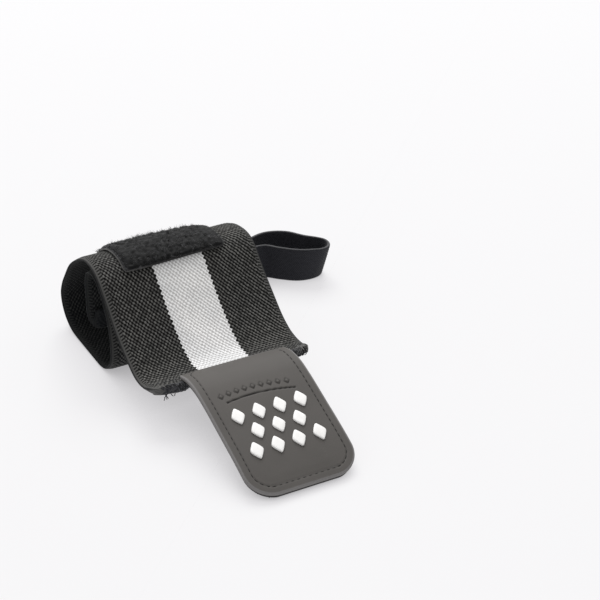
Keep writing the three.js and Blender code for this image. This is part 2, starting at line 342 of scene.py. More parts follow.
class Look:
    """A material's nodes around one Principled shader."""

    def __init__(self, name, roughness, **constants):
        self.material = bpy.data.materials.new(name)
        self.material.use_nodes = True
        self.tree = self.material.node_tree
        self.shader = self.tree.nodes["Principled BSDF"]
        for key, value in {"Roughness": roughness, **constants}.items():
            self.shader.inputs[key.replace("_", " ")].default_value = value

    def put(self, socket, value):
        if isinstance(value, Value):
            self.tree.links.new(value.socket, socket)
        else:
            socket.default_value = value

    def node(self, kind, output=0, settings=None, **inputs):
        """One output of a new node with these settings and inputs."""
        node = self.tree.nodes.new("ShaderNode" + kind)
        for key, value in (settings or {}).items():
            setattr(node, key, value)
        for key, value in inputs.items():
            self.put(node.inputs[key.replace("_", " ")], value)
        return Value(self, node.outputs[output])

    def math(self, operation, *values):
        node = self.tree.nodes.new("ShaderNodeMath")
        node.operation = operation
        for socket, value in zip(node.inputs, values):
            self.put(socket, value)
        return Value(self, node.outputs[0])

    def wave(self, phase):
        return self.math("SINE", phase)

    def cloth(self):
        """The cloth map: millimetres across, millimetres along."""
        place = self.node("UVMap", "UV", {"uv_map": "cloth"})
        x = self.node("SeparateXYZ", "X", Vector=place)
        return x, Value(self, x.socket.node.outputs["Y"])

    def point(self, x, y, z=0.0):
        return self.node("CombineXYZ", X=x, Y=y, Z=z)

    def place(self):
        return self.node("TexCoord", "Object")

    def noise(self, place, scale, detail=2.0, roughness=0.5):
        return self.node("TexNoise", Vector=place, Scale=scale, Detail=detail, Roughness=roughness)

    def value(self, name):
        """The piece's own point value of this name."""
        return self.node("Attribute", "Fac", {"attribute_name": name})

    def blend(self, share, first, second, kind="MIX"):
        node = self.tree.nodes.new("ShaderNodeMix")
        node.data_type = "RGBA"
        node.blend_type = kind
        self.put(node.inputs[0], share)
        for socket, value in ((node.inputs[6], first), (node.inputs[7], second)):
            self.put(socket, value if isinstance(value, Value) else (*value, 1.0))
        return Value(self, node.outputs[2])

    def faded(self, colour, place, low, high, tint):
        """The colour with this tint over it in wide uneven clouds."""
        return self.blend(place.soft(low, high), colour, self.blend(1.0, colour, tint, "MULTIPLY"))

    def finish(self, colour, roughness=None, bump=None):
        """Join up the shader; bump is a height with its distance in metres and its strength."""
        self.put(self.shader.inputs["Base Color"], colour)
        if roughness is not None:
            self.put(self.shader.inputs["Roughness"], roughness)
        if bump is not None:
            height, distance, strength = bump
            normal = self.node("Bump", Strength=strength, Distance=distance, Height=height)
            self.put(self.shader.inputs["Normal"], normal)
        return self.material


def webbing_look():
    """Knotted elastic webbing: charcoal, with a pale stripe, a laddered border and smooth lips."""
    look = Look("webbing", 0.9, Specular_IOR_Level=0.1, Sheen_Weight=0.03, Sheen_Roughness=0.5)
    u, v = look.cloth()
    u_soft = u + (look.noise(look.point(u, v), 0.33, 1.0) - 0.5)
    v_soft = v + (look.noise(look.point(v, u, 7.0), 0.4, 1.0) - 0.5) * 0.8
    phase_u = u_soft * (TURN / KNOT_ACROSS)
    phase_v = v_soft * (pi / KNOT_ALONG)
    lean = u.soft(*LEAN_SPAN) * LEAN_GROWTH + LEAN_LEAST
    one = look.math("COSINE", phase_u + phase_v)
    two = look.math("COSINE", phase_u - phase_v)
    height = (lean + 0.5) * one + (0.5 - lean) * two
    # The knot that each point belongs to
    row = look.math("ROUND", v_soft * (1 / KNOT_ALONG))
    half = look.math("FLOORED_MODULO", row, 2.0) * 0.5
    column = look.math("ROUND", u_soft * (1 / KNOT_ACROSS) - half)
    luck = look.node("TexWhiteNoise", "Value", Vector=look.point(row, column))
    teeth = look.math("COSINE", phase_v) * 0.34
    stripe = (teeth + STRIPE_HALF - look.math("ABSOLUTE", u_soft)).soft(-0.08, 0.08)
    yarn = look.noise(look.point(u, v, 3.0), 2.6) - 0.5
    # Knots paler on top and near black between: the weave's own pattern, with painted shade in the gaps
    # between knots
    bright = (height + yarn * 0.5).soft(-0.35, 0.8) * (luck * 0.8 + 0.52)
    dark_cloth = look.blend(bright, (0.0025, 0.0025, 0.0022), (0.148, 0.145, 0.137))
    pale_cloth = look.blend(bright.soft(0.0, 0.42), (0.58, 0.567, 0.56), (0.98, 0.972, 0.965))
    colour = look.blend(stripe, dark_cloth, pale_cloth)
    # The border: a ladder of short bars, then a smooth lip
    from_middle = look.math("ABSOLUTE", u)
    edge_place = from_middle - u.soft(0, 1) * RIGHT_LIP_SHIFT
    bars = look.wave((v + from_middle * LADDER_SLANT) * (TURN / LADDER_PITCH))
    bar = (bars + yarn * 1.9).soft(-0.35, 0.55)
    ladder = look.blend(bar, (0.01, 0.01, 0.0095), (0.1, 0.098, 0.093))
    colour = look.blend(edge_place.soft(LADDER_EDGE - 0.1, LADDER_EDGE + 0.1), colour, ladder)
    lip_yarn = look.noise(look.point(u * 3.0, v * 0.9), 1.6, 3.0)
    lip = look.blend(lip_yarn, (0.052, 0.051, 0.049), (0.098, 0.096, 0.092))
    wall = look.blend(from_middle.soft(37.35, 37.75), lip, (0.026, 0.026, 0.026))
    on_lip = edge_place.soft(LIP_EDGE - 0.15, LIP_EDGE + 0.15)
    colour = look.blend(on_lip, colour, wall)
    # The folded ends are darker. Painted shade: the inner face and the cloth within the roll are darkened in
    # colour. Painted highlight: the front hem's crest is paler.
    colour = look.blend(look.value("hem") * 0.7, colour, (0.044, 0.045, 0.052))
    # painted highlight along the front hem's crest; the left corner's lip is paler as well
    colour = look.blend(look.value("crest") * 0.55, colour, (0.125, 0.123, 0.118))
    # painted shade on the inner face and on the cloth within the roll, darkened towards near black
    colour = look.blend(look.value("inside_shade") * 0.72, colour, (0.006, 0.0075, 0.0085))
    colour = look.faded(colour, look.noise(look.point(u, v, 11.0), 0.06), 0.25, 0.75, (0.84, 0.85, 0.86))
    flat = look.blend(on_lip, look.point(height, height, height), (0.0, 0.0, 0.0))
    rise = flat * 0.5 + look.noise(look.point(u, v), 5.5) * 0.3
    return look.finish(colour, luck * 0.12 + 0.82, (rise, 0.0003, 0.8))


def rubber_look():
    """Moulded rubber with a painted highlight along its rounded edge, painted shade in its grooves, along its
    line and round its pips, and a little dust.
    """
    look = Look("tab_rubber", 0.65, Specular_IOR_Level=0.2)
    place = look.place()
    cloud = look.noise(place, 38.0, 3.0)
    colour = look.blend(cloud.soft(0.3, 0.7), (0.079, 0.0735, 0.0685), (0.09, 0.0835, 0.078))
    # painted highlight along the rounded edge
    colour = look.blend(look.value("edge"), colour, (0.185, 0.178, 0.177))
    # painted shade in the groove, along the recessed line and round the pips' feet
    colour = look.blend(look.value("groove"), colour, (0.01, 0.009, 0.008))
    dust = look.noise(place, 900.0, 4.0, 0.7).soft(0.62, 0.8)
    colour = look.blend(dust * 0.12, colour, (0.3, 0.29, 0.28))
    return look.finish(colour, cloud * 0.14 + 0.6, (look.noise(place, 2600.0), 0.00004, 0.6))


def mark_look():
    look = Look("mark_rubber", 0.5, Specular_IOR_Level=0.45)
    place = look.place()
    smudge = look.noise(place, 240.0, 3.0).soft(0.45, 0.8)
    colour = look.blend(smudge * 0.5, (0.84, 0.83, 0.815), (0.72, 0.71, 0.69))
    return look.finish(colour, smudge * 0.15 + 0.45, (look.noise(place, 2200.0), 0.00003, 0.5))


def hook_look():
    look = Look("hooks", 0.7, Specular_IOR_Level=0.4)
    place = look.place()
    colour = look.blend(look.noise(place, 1500.0), (0.006, 0.006, 0.006), (0.028, 0.027, 0.027))
    rough = look.noise(place, 300.0) * 0.2 + 0.6
    return look.finish(colour, rough, (look.noise(place, 3500.0), 0.0001, 0.7))


def patch_look():
    """The flat woven border of the loop patch."""
    look = Look("patch_cloth", 0.9, Specular_IOR_Level=0.2, Sheen_Weight=0.1)
    u, v = look.cloth()
    woven = (look.wave(u * (TURN / 0.55)) + look.wave(v * (TURN / 0.5))) * 0.5
    colour = look.blend(woven.soft(-0.7, 0.8), (0.01, 0.01, 0.0105), (0.042, 0.041, 0.042))
    colour = look.blend(look.value("edge"), colour, (0.088, 0.086, 0.084))
    rough = look.noise(look.point(u, v), 1.2) * 0.15 + 0.8
    return look.finish(colour, rough, (woven, 0.00012, 0.8))


def pile_look():
    """Brushed pile: many fibres, each with its own shade, with painted shade darkening them towards the root.
    """
    look = Look("pile", 0.85, Specular_IOR_Level=0.2, Sheen_Weight=0.12, Sheen_Roughness=0.4)
    shade = look.value("shade")
    place = look.place()
    mixed = shade * 0.7 + look.noise(place, 210.0, 3.0).soft(0.34, 0.7) * 0.3
    fibre = look.blend(mixed, (0.0015, 0.0015, 0.0017), (0.15, 0.149, 0.154))
    # painted shade: near black at the root, the fibre's colour at the tip
    colour = look.blend(look.value("tip").soft(0.1, 1.0), (0.004, 0.004, 0.0042), fibre)
    return look.finish(colour, shade * 0.15 + 0.78, (look.noise(place, 3000.0), 0.00008, 0.6))


def loop_look():
    """Finely ribbed narrow webbing, blue black, with a paler line along both edges."""
    look = Look("loop_webbing", 0.88, Specular_IOR_Level=0.22, Sheen_Weight=0.1)
    u, v = look.cloth()
    rib = look.math("ROUND", u * (1 / LOOP_RIB))
    knots = look.wave(v * (TURN / 0.95) + rib * pi)
    woven = look.wave(u * (TURN / LOOP_RIB)) * 0.55 + knots * 0.45
    yarn = look.noise(look.point(u, v * 0.6), 2.2)
    share = (woven + (yarn - 0.5)).soft(-0.8, 0.9)
    colour = look.blend(share, (0.0084, 0.0088, 0.0115), (0.03, 0.031, 0.0385))
    colour = look.blend(look.value("edge"), colour, (0.074, 0.074, 0.077))
    # painted shade at both ends of the loop's strip, next to its seam
    colour = look.blend(look.value("sewn") * 0.6, colour, (0.004, 0.007, 0.008))
    colour = look.faded(colour, look.noise(look.point(u, v), 0.05), 0.3, 0.7, (0.85, 0.85, 0.87))
    return look.finish(colour, yarn * 0.15 + 0.78, (woven, 0.00014, 0.8))


def thread_look(name, dark, pale):
    look = Look(name, 0.75, Specular_IOR_Level=0.3, Sheen_Weight=0.1)
    place = look.place()
    twist = look.noise(place, 1700.0) * 0.5 + look.noise(place, 620.0) * 0.5
    colour = look.blend(twist.soft(0.38, 0.62), dark, pale)
    return look.finish(colour, twist * 0.2 + 0.65, (twist, 0.0001, 0.8))


def floor_look():
    """A pale floor that glows with its own light, so that cast shadows are soft; the glow dims close to the
    wrap, a painted contact shadow.
    """
    look = Look("floor", 0.9, Specular_IOR_Level=0.1, Emission_Color=(0.99, 0.974, 1.0, 1.0))
    # Painted contact shadow: the floor's glow dims where the wrap is near
    unshadowed = look.node("AmbientOcclusion", "AO", {"samples": 12}, Distance=0.034).soft(0.0, 0.78)
    look.put(look.shader.inputs["Emission Strength"], unshadowed * 0.33 + 0.36)
    colour = look.blend(look.noise(look.place(), 1.5), (0.185, 0.189, 0.184), (0.194, 0.198, 0.192))
    return look.finish(colour)


HOOKS = hook_look()
PILE = pile_look()
HEM_THREAD = thread_look("hem_thread", (0.01, 0.01, 0.012), (0.105, 0.106, 0.115))
# A darker, teal copy of the hem thread: painted shade for the thread within the roll
INNER_THREAD_SHADED = thread_look("inner_thread_shaded", (0.004, 0.007, 0.008), (0.018, 0.026, 0.028))
CORNER_THREAD = thread_look("corner_thread", (0.014, 0.014, 0.014), (0.17, 0.168, 0.164))
LIP_YARN = thread_look("lip_yarn", (0.048, 0.047, 0.047), (0.088, 0.087, 0.086))
TAB_THREAD = thread_look("tab_thread", (0.007, 0.0065, 0.006), (0.024, 0.022, 0.0205))


# The band: raw edge, front hem, fold, the long run, fold, inner hem, raw edge
def fold_arc(along, direction, turns):
    ahead = line_ahead(along)
    out = out_of(ahead)
    angles = pi * np.asarray(turns)[:, None]
    centre = line_point(along) - out * FOLD_RADIUS
    return centre + FOLD_RADIUS * (out * cos(angles) + ahead * direction * sin(angles))


def hem_run(along, direction):
    reach = along - direction * linspace(0, HEM_LENGTH, 20)
    return line_point(reach) - out_of(line_ahead(reach)) * 2 * FOLD_RADIUS


arc_turns = linspace(0, 1, 13)[1:-1]
path_parts = [
    hem_run(BAND_START, -1)[::-1],
    fold_arc(BAND_START, -1, arc_turns[::-1]),
    line_point(linspace(BAND_START, BAND_END, 900)),
    fold_arc(BAND_END, 1, arc_turns),
    hem_run(BAND_END, 1),
]
band_path = np.vstack(path_parts)
band_run = run_length(band_path)
band_length = float(band_run[-1])
front_fold = float(band_run[len(path_parts[0]) + len(path_parts[1])])
inner_fold = float(band_run[sum(len(part) for part in path_parts[:3]) - 1])

HEM_CORNER = 2.2
HEM_BULGE = 2.6
ARC_HALF = pi * FOLD_RADIUS / 2
HEM_AHEAD = line_ahead(BAND_START)


def from_fold(v):
    """How far back from the tip of the nearer fold a place lies, seen from above."""
    beyond = minimum(abs(v - front_fold + ARC_HALF), abs(v - inner_fold - ARC_HALF))
    on_arc = FOLD_RADIUS * (1 - cos(minimum(beyond, ARC_HALF) / FOLD_RADIUS))
    return on_arc + clip(beyond - ARC_HALF, 0, None)


def band_half(v, right):
    """Half the band's width; the hems draw it in, and the left corners are round."""
    far = from_fold(v)
    drawn_in = 1 - clip((far - FOLD_RADIUS) / HEM_LENGTH, 0, 1)
    corner = HEM_CORNER - sqrt(HEM_CORNER ** 2 - clip(HEM_CORNER - far, 0, None) ** 2)
    under = ease(maximum(front_fold - v, v - inner_fold), 1.6, 3.4)
    tucked = under * np.where(right, 2.5, 0.3 + 3.0 * ease(far, 2, 8))
    return BAND_WIDTH / 2 - HEM_INSET * drawn_in ** 2 - corner * (1 - right) - tucked


def on_band(u, v, lift):
    """Points on the band as sewn: u is the place across the flat band, up to half its width."""
    u, v, lift = np.broadcast_arrays(*(np.asarray(value, float) for value in (u, v, lift)))
    out = out_of(heading(band_path, v, 0.3))
    # Beside the tab's left edge the front hem sits a little further forward
    beside_tab = ease(u, -35, -27.5) * fade(u, -25.6, -23.8)
    bulge = HEM_BULGE * beside_tab * fade(v - front_fold, 0, 12)
    place = at_lengths(band_path, v) + out * lift[..., None] - HEM_AHEAD * bulge[..., None]
    across = u * band_half(v, u > 0) / (BAND_WIDTH / 2)
    return settle(concatenate([across[..., None], place], -1))


core = np.arange(-41, 42) * KNOT_ACROSS / 2
rim = np.array([36.95, 37.35, 37.65, 37.85, 38.0])
band_u = concatenate([-rim[::-1], core, rim])
band_v = np.append(np.arange(0, band_length, KNOT_ALONG / 2), band_length)
U, V = np.meshgrid(band_u, band_v)
round_part = clip((abs(U) - 36.9) / 1.15, 0, 1)
half_thick = BAND_FACE * (1 - 0.42 * ease(abs(U), 35.9, 37.1)) * sqrt(1 - 0.93 * round_part ** 2)
edge_place = abs(U) - RIGHT_LIP_SHIFT * (U > 0)
knots_share = fade(edge_place, LADDER_EDGE - 0.4, LADDER_EDGE + 0.4)
ladder_share = ease(edge_place, 34.9, 35.4) * fade(edge_place, 36.3, 36.8)
bars = sin(TURN * (V + LADDER_SLANT * abs(U)) / LADDER_PITCH)
relief = RELIEF * (weave(U, V) * knots_share + 0.22 * bars * ladder_share)
left_lip = ease(-U, 36.2, 37.0)
hem_share = fade(V, front_fold - 1.4, front_fold - 0.2) + ease(V, inner_fold + 0.2, inner_fold + 1.4)
hem_share = hem_share * (1 - 0.8 * left_lip)
# The edges are a little wavy, but not at the hems or under the roll
wave = 0.22 * ease(abs(U), 25, 38) * sin(V / 4.1 + 1.3 * np.sign(U))
wave = wave * ease(V, front_fold, front_fold + 15) * fade(V, inner_fold - 15, inner_fold)
wave = wave * fade(V, front_fold + 110, front_fold + 125)
top = above_floor(on_band(U, V, half_thick + relief + wave), 0.02)
under = above_floor(on_band(U, V, -half_thick - 0.6 * relief + wave), 0.02)
roll_start = front_fold + float(LINE_RUN[ROLL_ROW * LINE_STEPS]) - BAND_START
# Painted shade: the cloth within the roll, and the whole inner face, are darkened in colour
in_roll_shade = 0.6 * ease(V, roll_start - 3, roll_start + 6)
# Painted highlight along the left part of the front fold's crest
crest = fade(abs(V - front_fold - 0.5), 0.5, 1.2) * ease(-U, 8, 20)
corner_lip = left_lip * fade(V, front_fold, front_fold + 4)
band = make_piece("wrap_band", closed_strip(top, under), webbing_look(), cloth_map(U, V), {
    "hem": sides(hem_share),
    "inside_shade": sides(maximum(ease(V, inner_fold - 2, inner_fold + 0.5), in_roll_shade), 1 - 0.8 * corner_lip),
    "crest": sides(maximum(crest, corner_lip), corner_lip),
})
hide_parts("band")


# Overlock thread round both folded ends, and a few that have worked loose
def overlock(fold, direction):
    """Thread round a folded end: tangled loops, and two wandering threads that lock them."""
    parts = []
    face = BAND_FACE
    u = -33.4
    while u < 35.0:
        reach = 2.0 * ease(u, -35.5, -28.5) + 0.5 + rng.normal(0, 0.35)
        steps = linspace(rng.normal(0.1, 0.25), max(reach, 0.8), 10)
        lift = face + rng.uniform(0.0, 0.16) + 0.1 * sin(linspace(0, pi, 10))
        lift[[0, -1]] = face - 0.2
        slant = linspace(-0.5, 0.5, 10) * rng.uniform(-1.7, 2.4) * (1 - 0.7 * ease(abs(u), 30, 34))
        kink = 0.22 * sin(linspace(0, 5, 10) + rng.uniform(0, 6))
        path = above_floor(on_band(u + slant + kink, fold + direction * steps, lift), 0.3)
        parts.append(tube(path, rng.uniform(0.11, 0.2), 5))
        u += rng.uniform(0.35, 0.95)
    across = linspace(-33.6, 35.2, 260)
    for depth, size in ((0.35, 0.17), (1.9, 0.16)):
        swing = 0.4 * sin(across * 4.3 + depth) + 0.3 * sin(across * 1.7)
        lift = face + 0.14 + 0.14 * sin(across * 4.3 + 1.2)
        path = above_floor(on_band(across, fold + direction * (depth + swing), lift), 0.3)
        parts.append(tube(path, size, 5))
    return parts


def drawn_corner():
    """The far corner of the front hem, where strands are pulled together into two small lobes."""
    parts = []
    turn = linspace(-0.9, 1.0, 15) * pi * 0.62
    lobes = ((0.3, 1.35, 0.5), (1.2, 1.2, 0.7), (2.1, 0.8, 0.9), (-0.9, 0.75, 0.9), (-2.2, 0.3, 1.0))
    for offset, reach, low in lobes:
        v = front_fold + offset + 0.4 * turn + rng.normal(0, 0.1, 1)
        path = on_band(36.6 + (reach + 0.4) * cos(turn), v, sin(turn) * low + 0.15)
        parts.append(tube(path, rng.uniform(0.36, 0.48), 7))
    shares = linspace(0, 1, 8)
    for i in range(13):
        start = np.array([rng.uniform(31.5, 35.0), rng.uniform(-0.6, 3.8)])
        end = np.array([rng.uniform(36.6, 38.0), rng.uniform(-1.0, 1.6)])
        spots = start + (end - start) * shares[:, None]
        lift = BAND_FACE + 0.08 + 0.2 * sin(pi * shares) - 0.35 * shares
        parts.append(tube(on_band(spots[:, 0], front_fold + spots[:, 1], lift), rng.uniform(0.17, 0.3), 6))
    for i in range(6):
        u = 31.5 + 1.0 * i + rng.uniform(-0.3, 0.3) + linspace(-0.9, 0.7, 8)
        path = on_band(u, front_fold - linspace(-0.3, 2.7, 8), BAND_FACE + 0.15)
        parts.append(tube(above_floor(path, 0.4), rng.uniform(0.2, 0.3), 6))
    return parts


def chain_line(fold, direction, offset):
    """A straight row of stitches across the band, seen on its outer face."""
    shares = linspace(0, 1, 6)
    lift = BAND_FACE + RELIEF + 0.16 * sin(pi * shares) - 0.12
    starts = np.arange(-36.0, 36.1, 2.6)
    return [tube(on_band(u + 1.9 * shares, fold + direction * offset, lift), 0.17, 5) for u in starts]


hem_pieces = []
for name, stitches, material in (
    ("hem_stitches", overlock(front_fold, -1) + chain_line(front_fold, 1, 5.2), HEM_THREAD),
    ("inner_hem_stitches", overlock(inner_fold, 1) + chain_line(inner_fold, -1, 5.2), INNER_THREAD_SHADED),
    ("drawn_corner", drawn_corner(), CORNER_THREAD),
):
    hem_pieces.append(make_piece(name, join(stitches), material))

# The rolled lip that closes the front hem's left end
share = linspace(0, 1, 40)
growth = ease(share, 0.15, 0.85)
lip_path = on_band(-37.5 + 0.9 * growth, front_fold + 9 - (9 + ARC_HALF) * share, -0.35 - 0.75 * growth)
hem_pieces.append(make_piece("hem_lip", tube(lip_path, 0.4 + 1.15 * growth, 12), LIP_YARN))


def loose_thread(start, length, way, droop, radius=0.18):
    """A short end of thread that has come out of a seam."""
    shares = linspace(0, 1, 9)
    way = np.array(way) / np.linalg.norm(way)
    curl = np.cross(way, (0, 0, 1.0))
    wiggle = 0.35 * sin(shares * 5 + rng.uniform(0, 6)) * shares
    path = start + way * length * shares[:, None] + curl * wiggle[:, None] * length * 0.3
    path[:, 2] -= droop * length * shares ** 2
    return tube(above_floor(path, radius + 0.05), radius, 5)


loose = []
for u, length, way, droop in (
    (-34.0, 2.4, (-0.75, -0.3, -0.6), 0.4), (-34.8, 2.0, (0.6, -0.3, -0.6), 0.4),
    (-34.3, 1.8, (0.0, -0.5, -0.7), 0.4), (-33.5, 2.0, (-0.9, -0.2, -0.3), 0.3),
    (-32.4, 1.5, (0.6, -0.4, -0.5), 0.3), (-30.4, 1.2, (-0.5, -0.4, -0.4), 0.3),
):
    loose.append(loose_thread(on_band(u, front_fold - 3.1, 0.9), length, way, droop))
loose_ends = make_piece("loose_threads", join(loose), HEM_THREAD)


# The tab
def tab_half(along):
    half = TAB_WIDTH / 2
    for radius, beyond in ((TAB_TIP_RADIUS, along), (TAB_TOP_RADIUS, TAB_LENGTH - along)):
        rest = clip(radius - beyond, 0, None)
        half = half - (radius - sqrt(clip(radius ** 2 - rest ** 2, 0, None)))
    return half


def tab_edge_distance(across, along):
    """Distance in from the tab's sides and tip; across is measured from the tab's middle."""
    straight = TAB_WIDTH / 2 - TAB_TIP_RADIUS
    corner = TAB_TIP_RADIUS - hypot(abs(across) - straight, TAB_TIP_RADIUS - along)
    in_corner = (along < TAB_TIP_RADIUS) & (abs(across) > straight)
    return np.where(in_corner, corner, minimum(TAB_WIDTH / 2 - abs(across), along))


def spaced(places, least):
    """These places in order, without those closer than this to the one before."""
    places = np.unique(np.round(places, 3))
    return places[concatenate([[True], np.diff(places) > least])]


def tab_stations(from_tip, to_top, tip_radius, top_radius, step):
    """Places along the tab, closer together where its outline turns and at both ends."""
    turn = linspace(0, pi / 2, 22)
    edge = np.array([0, 0.1, 0.25, 0.45, 0.7]) * 0.9
    tip = from_tip + tip_radius * (1 - cos(turn))
    middle = np.arange(from_tip + tip_radius, to_top - top_radius, step)
    rest = to_top - top_radius * (1 - cos(turn[::-1]))
    both = concatenate([tip, from_tip + edge, middle, rest, to_top - edge])
    return spaced(clip(both, from_tip, to_top), 0.05)


GROOVE_IN = 3.6
GROOVE_HALF = 0.36
GROOVE_TOP = 72.0
GROOVE_CORNER = 5.0
LINE_ALONG = 47.75
LINE_HALF = 15.6
PIP_ALONG = 3.8
PIP_FIRST = -16.6
PIP_PITCH = 3.75
PIP_COUNT = 9
TAB_LIFT = BAND_FACE + GAP + TAB_THICK / 2
TAB_FACE = TAB_LIFT + TAB_THICK / 2


def line_bend(across):
    """Where along the tab its curved line runs."""
    return LINE_ALONG - 0.0577 * across - 0.00678 * across ** 2


def on_tab(across, along, lift):
    return on_line(across + TAB_SHIFT, along, lift)


tab_s = tab_stations(0, TAB_LENGTH, TAB_TIP_RADIUS, TAB_TOP_RADIUS, 0.42)
edge_t = np.array([0, 0.004, 0.011, 0.02, 0.031])
tab_t = concatenate([-1 + edge_t, linspace(-0.957, 0.957, 131), 1 - edge_t[::-1]])
T, S = np.meshgrid(tab_t, tab_s)
A = T * tab_half(S)
side_edge = tab_edge_distance(A, S)
rounding = 1 - clip(minimum(side_edge, TAB_LENGTH - S), 0, 1)
fall = 0.7 * (1 - sqrt(clip(1 - rounding ** 2, 0, 1)))
# The groove rounds the top corners and runs out along the top edge
past_side = clip(abs(A) - (TAB_WIDTH / 2 - GROOVE_IN - GROOVE_CORNER), 0, None)
past_top = S - (GROOVE_TOP - GROOVE_CORNER)
top_turn = hypot(past_side, clip(past_top, 0, None))
groove_off = np.where(past_top > 0, top_turn - GROOVE_CORNER, side_edge - GROOVE_IN)
groove = fade(abs(groove_off), GROOVE_HALF * 0.35, GROOVE_HALF)
line = fade(abs(S - line_bend(A)), 0.22, 0.5)
line = line * fade(abs(A), LINE_HALF - 0.2, LINE_HALF + 0.2)
# A row of small raised pips, plain decoration
nearest = PIP_FIRST + PIP_PITCH * clip(np.round((A - PIP_FIRST) / PIP_PITCH), 0, PIP_COUNT - 1)
pip_far = abs(A - nearest) / 1.35 + abs(S - line_bend(nearest) - PIP_ALONG) / 1.55
pip = fade(pip_far, 0.62, 0.9)
pip_foot = ease(pip_far, 0.5, 0.8) * fade(pip_far, 0.95, 1.25)
swell = 0.16 * ease(side_edge, GROOVE_IN + 0.5, GROOVE_IN + 5)
upper = TAB_FACE - 0.12 + swell - fall - 0.26 * groove - 0.34 * line + 0.34 * pip - 0.18 * pip_foot
lower = TAB_LIFT - TAB_THICK / 2 + 0.3 * rounding ** 2
# Painted highlight along the tab's rounded edge, stronger on top than below
edge_highlight = ease(rounding, 0.0, 0.5)
# Painted shade in the groove, along the recessed line and round the pips' feet
dark = np.max([0.22 * groove, line, 0.75 * pip_foot], axis=0)
tab_shape = closed_strip(on_tab(A, S, upper), on_tab(A, S, lower))
tab = make_piece("pull_tab", tab_shape, rubber_look(), cloth_map(A, S), {
    "edge": sides(edge_highlight, edge_highlight * 0.3),
    "groove": sides(dark, 0),
})
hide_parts("tab_face")


def corner_turn(half, radius, middle, turn):
    """A quarter turn at the left near corner of an outline, its middle this far along."""
    return stack([radius - half - radius * cos(turn), middle - radius * sin(turn)], -1)


def stitch_row(outline, first, pitch, last, length, steps, place, base, rise, around):
    """A row of stitches along an outline: threads that rise from the cloth and go back in."""
    shares = linspace(0, 1, steps)
    lift = base + rise * sin(pi * shares)
    parts = []
    for start in np.arange(first, run_length(outline)[-1] - last, pitch):
        spots = at_lengths(outline, start + length * shares)
        parts.append(tube(place(spots[:, 0], spots[:, 1], lift), 0.15, around))
    return join(parts)


# The stitches in the groove, from the left top round the tip to the right top
turn = linspace(0, pi / 2, 24)
half = TAB_WIDTH / 2 - GROOVE_IN
corner = corner_turn(half, TAB_TIP_RADIUS - GROOVE_IN, TAB_TIP_RADIUS, turn)
top_corner = corner_turn(half, GROOVE_CORNER, -GROOVE_TOP + GROOVE_CORNER, turn)[:15] * (-1, -1)
outline = np.vstack([(top_corner * (-1, 1))[::-1], corner, corner[::-1] * (-1, 1), top_corner])
groove_row = stitch_row(outline, 0.3, 2.7, 2.0, 1.85, 8, on_tab, TAB_FACE - 0.42, 0.24, 6)
tab_thread = make_piece("tab_stitches", groove_row, TAB_THREAD)


# The raised lozenges on the tab
# Share of a mark's outline and of its height
MARK_RINGS = ((1, 0), (1, 0.45), (0.985, 0.68), (0.94, 0.87), (0.86, 0.97), (0.6, 1), (0.3, 1))


def lozenge(across, along):
    around = 32
    turn = TURN * (np.arange(around) + 0.5) / around
    shape = (abs(cos(turn)) ** 1.18 + abs(sin(turn)) ** 1.18) ** (-1 / 1.18)
    x, s = MARK_WIDTH / 2 * shape * cos(turn), MARK_LENGTH / 2 * shape * sin(turn)
    base, height = TAB_FACE + 0.02, GAP + MARK_THICK - 0.02
    rows = [on_line(across + size * x, along + size * s, base + height * up) for size, up in MARK_RINGS]
    index = np.arange(len(rows) * around).reshape(-1, around)
    last = index[-1]
    fan = stack([last, np.roll(last, -1), np.full(around, index.size)], -1)
    points = concatenate(rows + [on_line(across, along, base + height)[None]])
    return points, [ring_quads(index), fan, index[0][::-1][None]]


parts = []
for row, count in enumerate(MARK_ROWS):
    along = MARK_MIDDLE + MARK_PITCH_ALONG * (row - 1)
    for i in range(count):
        parts.append(lozenge(TAB_SHIFT + MARK_PITCH_ACROSS * (i - (count - 1) / 2), along))
marks = make_piece("grip_lozenges", join(parts), mark_look())
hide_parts(*[f"grip_mark_{i + 1}" for i in range(sum(MARK_ROWS))])


# The hook tape under the tab: a thin cloth with rows of small hooks below
HOOK_END = BAND_START - FOLD_RADIUS - BAND_FACE - GAP
HOOK_SHAPE = np.array([(0.0, 0.0), (0.02, 0.42), (0.32, 0.68), (0.8, 0.62), (1.0, 0.4)])
hook_s = tab_stations(HOOK_INSET, HOOK_END, TAB_TIP_RADIUS - HOOK_INSET, 0, 1.2)
T, S = np.meshgrid(linspace(-1, 1, 41), hook_s)
A = T * (tab_half(S) - HOOK_SIDE)
rounding = clip(1 - (1 - abs(T)) * 25 / 0.6, 0, 1)
tape_shape = closed_strip(
    on_tab(A, S, BAND_FACE - 0.15 * rounding),
    on_tab(A, S, -0.15 + 0.2 * rounding),
)
hook_tape = make_piece("hook_tape", tape_shape, HOOKS, cloth_map(A, S))
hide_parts("hook_backing")
tape_widths = 2 * (tab_half(hook_s) - HOOK_SIDE)
tape_area = float(((tape_widths[1:] + tape_widths[:-1]) / 2 * np.diff(hook_s)).sum())

parts = []
for row, along in enumerate(np.arange(HOOK_INSET + 1.2, HOOK_END - 0.8, 1.55)):
    half = float(tab_half(along)) - HOOK_SIDE - 0.9
    reach = HOOK_SHAPE[:, 0] * (0.34 if row % 2 else -0.34)
    for across in np.arange(-half, half, 1.75) + 0.3 * (row % 2):
        path = on_tab(across + reach, along, -0.12 - HOOK_SHAPE[:, 1])
        parts.append(tube(above_floor(path, 0.12), 0.11, 4))
hooks = make_piece("tape_hooks", join(parts), HOOKS)


